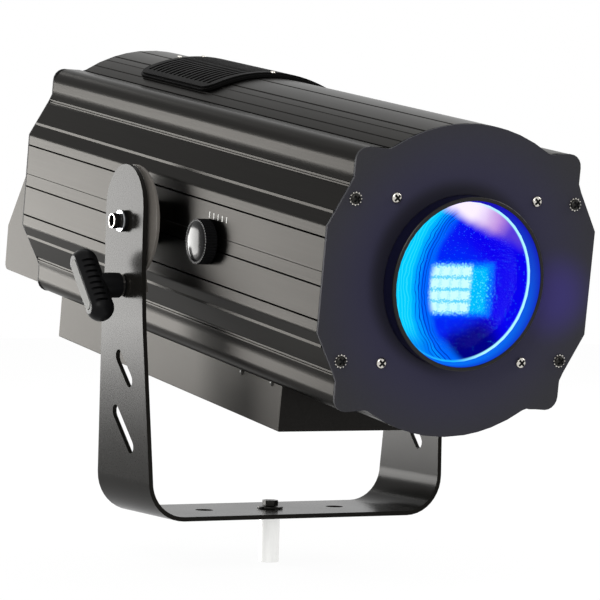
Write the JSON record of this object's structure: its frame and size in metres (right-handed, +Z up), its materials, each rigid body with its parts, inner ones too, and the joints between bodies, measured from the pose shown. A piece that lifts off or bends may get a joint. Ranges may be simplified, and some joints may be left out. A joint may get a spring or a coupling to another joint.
{
  "type": "followspot",
  "caption": "Followspot lamp head in a slotted U-shaped yoke on a stand spigot, with front lens, focus drive, colour wheel, LED lamp, vented cover and rear control box.",
  "frame": {"origin": "centre of the stand spigot's flat lower end, where a stand holds the part", "axes": "+Z up along the spigot, beam towards -Y, +X the tilt axis towards the right-hand arm seen from behind the lens's front; rest pose has the head tipped 7.3 degrees down at the front"},
  "size_m": [0.392, 0.7178, 0.4764],
  "materials": {
    "anodised": "satin, dark warm grey anodised",
    "black_paint": "matte black powder coat",
    "yoke_paint": "satin dark grey metallic paint",
    "black_plastic": "moulded black, semi-gloss",
    "bright_steel": "bright nickel plate",
    "black_steel": "blackened",
    "zinc": "zinc plate, satin",
    "aluminium": "machined",
    "glass": "clear, coated",
    "filters": "coloured dichroic",
    "circuit_board": "green solder resist",
    "supply": "closed aluminium case",
    "lamp_board": "white metal-core board",
    "friction_washer": "pressed fibre",
    "display_window": "dark tinted window"
  },
  "bodies": {
    "yoke_body": {"yoke": "yoke_paint", "stand_spigot": "zinc", "stand_bolt": "black_steel", "stand_washer": "black_steel", "friction_washer_left": "friction_washer", "friction_washer_right": "friction_washer", "pivot_washer_left": "black_plastic", "pivot_washer_right": "black_plastic", "spring_washer_left": "bright_steel", "spring_washer_right": "bright_steel", "clamp_nut_left": "zinc", "clamp_nut_right": "zinc"},
    "head_body": {"housing": "anodised", "front_plate": "black_paint", "rear_plate": "black_paint", "inner_screw_top_left": "bright_steel", "inner_screw_top_right": "bright_steel", "inner_screw_bottom_left": "bright_steel", "inner_screw_bottom_right": "bright_steel", "outer_screw_top_left": "bright_steel", "outer_screw_top_right": "bright_steel", "outer_screw_bottom_left": "bright_steel", "outer_screw_bottom_right": "bright_steel", "top_vent": "black_plastic", "driver_box": "anodised", "power_supply": "supply", "control_box": "anodised", "control_board": "circuit_board", "display": "display_window", "signal_in": "black_plastic", "signal_out": "black_plastic", "power_inlet": "black_plastic", "lens_tube": "black_paint", "front_lens": "glass", "lens_clip_ring": "black_steel", "guide_rod_left": "bright_steel", "guide_rod_right": "bright_steel", "optical_frame": "zinc", "wheel_motor": "black_steel", "condenser_lens": "glass", "lamp_board": "lamp_board", "heat_sink": "aluminium", "fan_frame": "black_plastic", "tilt_plate_left": "bright_steel", "tilt_plate_right": "bright_steel", "pivot_screw_left": "bright_steel", "pivot_screw_right": "bright_steel"},
    "lock_knob_left_body": {"lock_knob_left": "black_plastic"},
    "lock_knob_right_body": {"lock_knob_right": "black_plastic"},
    "focus_knob_body": {"focus_knob": "black_plastic", "focus_shaft": "bright_steel"},
    "focus_carriage_body": {"focus_carriage": "aluminium", "focus_lens": "glass"},
    "colour_wheel_body": {"colour_wheel": "aluminium", "filter_ring": "filters"},
    "fan_body": {"fan_rotor": "black_plastic"},
    "button_1_body": {"button_1": "black_plastic"},
    "button_2_body": {"button_2": "black_plastic"},
    "button_3_body": {"button_3": "black_plastic"},
    "button_4_body": {"button_4": "black_plastic"}
  },
  "joints": [
    {"name": "head_tilt", "type": "hinge", "parent": "yoke_body", "child": "head_body", "pos_m": [0, 0, 0.3103], "axis": [1, 0, 0], "range_deg": [-32, 17]},
    {"name": "lock_left_turn", "type": "hinge", "parent": "yoke_body", "child": "lock_knob_left_body", "pos_m": [-0.16, 0, 0.2528], "axis": [-1, 0, 0], "range_deg": [0, 540]},
    {"name": "lock_right_turn", "type": "hinge", "parent": "yoke_body", "child": "lock_knob_right_body", "pos_m": [0.16, 0, 0.2528], "axis": [1, 0, 0], "range_deg": [0, 540]},
    {"name": "focus_slide", "type": "slide", "parent": "head_body", "child": "focus_carriage_body", "axis": [0, 0.9919, 0.1271], "range_m": [-0.04, 0.04]},
    {"name": "focus_turn", "type": "hinge", "parent": "head_body", "child": "focus_knob_body", "pos_m": [-0.13, -0.11357, 0.29575], "axis": [-1, 0, 0], "range_deg": [-286.6, 286.6]},
    {"name": "colour_wheel_turn", "type": "hinge", "parent": "head_body", "child": "colour_wheel_body", "pos_m": [0, -0.00655, 0.26308], "axis": [0, 0.9919, 0.1271], "continuous": true},
    {"name": "fan_turn", "type": "hinge", "parent": "head_body", "child": "fan_body", "pos_m": [0, 0.14283, 0.3286], "axis": [0, 0.9919, 0.1271], "continuous": true},
    {"name": "button_1_press", "type": "slide", "parent": "head_body", "child": "button_1_body", "axis": [0, -0.7748, -0.6322], "range_m": [0, 0.0008], "stiffness_N_per_m": 600, "springref_m": -0.001},
    {"name": "button_2_press", "type": "slide", "parent": "head_body", "child": "button_2_body", "axis": [0, -0.7748, -0.6322], "range_m": [0, 0.0008], "stiffness_N_per_m": 600, "springref_m": -0.001},
    {"name": "button_3_press", "type": "slide", "parent": "head_body", "child": "button_3_body", "axis": [0, -0.7748, -0.6322], "range_m": [0, 0.0008], "stiffness_N_per_m": 600, "springref_m": -0.001},
    {"name": "button_4_press", "type": "slide", "parent": "head_body", "child": "button_4_body", "axis": [0, -0.7748, -0.6322], "range_m": [0, 0.0008], "stiffness_N_per_m": 600, "springref_m": -0.001}
  ],
  "couplings": [
    {"joint": "focus_turn", "follows": "focus_slide", "rad_per_m": 125}
  ]
}
